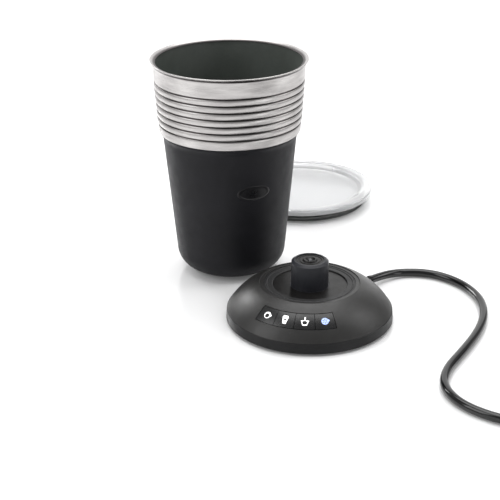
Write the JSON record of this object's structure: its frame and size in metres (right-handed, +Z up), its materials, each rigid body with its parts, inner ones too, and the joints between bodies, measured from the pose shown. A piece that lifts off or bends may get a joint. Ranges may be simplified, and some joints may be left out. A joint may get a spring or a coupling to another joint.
{
  "type": "milk frother",
  "caption": "Milk frother set: tapered cup with ribbed steel collar and dark sleeve, a round power base with drive post and lit keys, and a clear lid, with mains lead.",
  "frame": {"origin": "bottom centre of the box around cup, base and lid, on the surface they stand on", "axes": "+Z up; -Y towards the user, where the base stands with its keys; +Y towards the lid; +X towards the side where the mains lead leaves"},
  "size_m": [0.3332, 0.4624, 0.1664],
  "materials": {
    "dome_plastic": "satin",
    "tray_plastic": "satin",
    "ring_rubber": "soft",
    "plate_black": "satin",
    "post_plastic": "satin",
    "contact_steel": "polished",
    "dark_steel": "dark plated",
    "key_black": "satin",
    "icon_white": "lit",
    "icon_blue": "lit",
    "board_green": "satin",
    "component_dark": "satin",
    "copper": "enamelled copper",
    "ferrite": "matt",
    "zinc_steel": "plated",
    "magnet_steel": "nickel plated",
    "bronze": "sintered",
    "white_plastic": "satin",
    "band_steel": "horizontal brush",
    "pot_coating": "non-stick, satin",
    "sleeve_silicone": "soft",
    "emblem": "satin",
    "foot_plastic": "satin",
    "seal_silicone": "soft",
    "seal_red": "soft",
    "aluminium_plate": "bare",
    "lid_clear": "clear",
    "cord_pvc": "gloss",
    "pin_brass": "nickel plated"
  },
  "bodies": {
    "base": {"bottom_tray": "tray_plastic", "top_cover": "dome_plastic", "seat_ring": "ring_rubber", "seat_plate": "plate_black", "post_housing": "post_plastic", "post_cap": "plate_black", "sensor_stud": "dark_steel", "rubber_feet": "ring_rubber", "tray_screws": "zinc_steel", "key_board": "board_green", "key_switches": "component_dark", "indicator_leds": "white_plastic", "coil_carrier": "white_plastic", "induction_coil": "copper", "ferrite_bars": "ferrite", "power_board": "board_green", "power_parts": "component_dark", "cord_clamp": "white_plastic", "strain_relief": "cord_pvc", "motor_bracket": "zinc_steel", "motor_can": "zinc_steel", "field_magnets": "ferrite", "shaft_bush": "bronze", "power_cord": "cord_pvc", "cord_tail": "cord_pvc", "cord_coil": "cord_pvc", "plug_boot": "cord_pvc", "plug_body": "cord_pvc", "plug_pins": "pin_brass"},
    "drive_rotor": {"motor_shaft": "zinc_steel", "motor_armature": "copper", "magnet_carrier": "white_plastic", "drive_magnets": "magnet_steel"},
    "mug_key_body": {"mug_key": "key_black", "mug_icon": "icon_white"},
    "latte_key_body": {"latte_key": "key_black", "latte_icon": "icon_white"},
    "stirred_key_body": {"stirred_key": "key_black", "stirred_icon": "icon_white"},
    "cold_key_body": {"cold_key": "key_black", "cold_icon": "icon_blue"},
    "cup": {"steel_band": "band_steel", "inner_pot": "pot_coating", "silicone_sleeve": "sleeve_silicone", "emblem_badge": "emblem", "cup_foot": "foot_plastic", "foot_screws": "zinc_steel", "drive_socket": "foot_plastic", "heating_disc": "zinc_steel", "foot_seal": "seal_red", "spindle_pin": "contact_steel"},
    "whisk_carrier": {"whisk_bush": "white_plastic"},
    "whisk": {"whisk_cap": "component_dark", "whisk_skirt": "component_dark", "whisk_magnets": "magnet_steel", "whisk_coil": "contact_steel"},
    "lid": {"lid_plate": "lid_clear", "lid_seal": "seal_silicone"}
  },
  "joints": [
    {"name": "mug_key_press", "type": "slide", "parent": "base", "child": "mug_key_body", "axis": [0.4021, 0.493, -0.7715], "range_m": [0, 0.0005], "stiffness_N_per_m": 400, "springref_m": -0.0004},
    {"name": "latte_key_press", "type": "slide", "parent": "base", "child": "latte_key_body", "axis": [0.2465, 0.5865, -0.7715], "range_m": [0, 0.0005], "stiffness_N_per_m": 400, "springref_m": -0.0004},
    {"name": "stirred_key_press", "type": "slide", "parent": "base", "child": "stirred_key_body", "axis": [0.0709, 0.6323, -0.7715], "range_m": [0, 0.0005], "stiffness_N_per_m": 400, "springref_m": -0.0004},
    {"name": "cold_key_press", "type": "slide", "parent": "base", "child": "cold_key_body", "axis": [-0.1105, 0.6266, -0.7715], "range_m": [0, 0.0005], "stiffness_N_per_m": 400, "springref_m": -0.0004},
    {"name": "drive_spin", "type": "hinge", "parent": "base", "child": "drive_rotor", "pos_m": [0.0258, -0.11845, 0.036], "axis": [0, 0, 1], "continuous": true},
    {"name": "cup_lift", "type": "slide", "parent": "base", "child": "cup", "axis": [0, 0, 1], "range_m": [0, 0.1]},
    {"name": "whisk_lift", "type": "slide", "parent": "cup", "child": "whisk_carrier", "axis": [0, 0, 1], "range_m": [0, 0.15]},
    {"name": "whisk_spin", "type": "hinge", "parent": "whisk_carrier", "child": "whisk", "pos_m": [-0.0312, -0.02195, 0.02], "axis": [0, 0, 1], "continuous": true},
    {"name": "lid_lift", "type": "slide", "parent": "base", "child": "lid", "axis": [0, 0, 1], "range_m": [0, 0.1]}
  ]
}
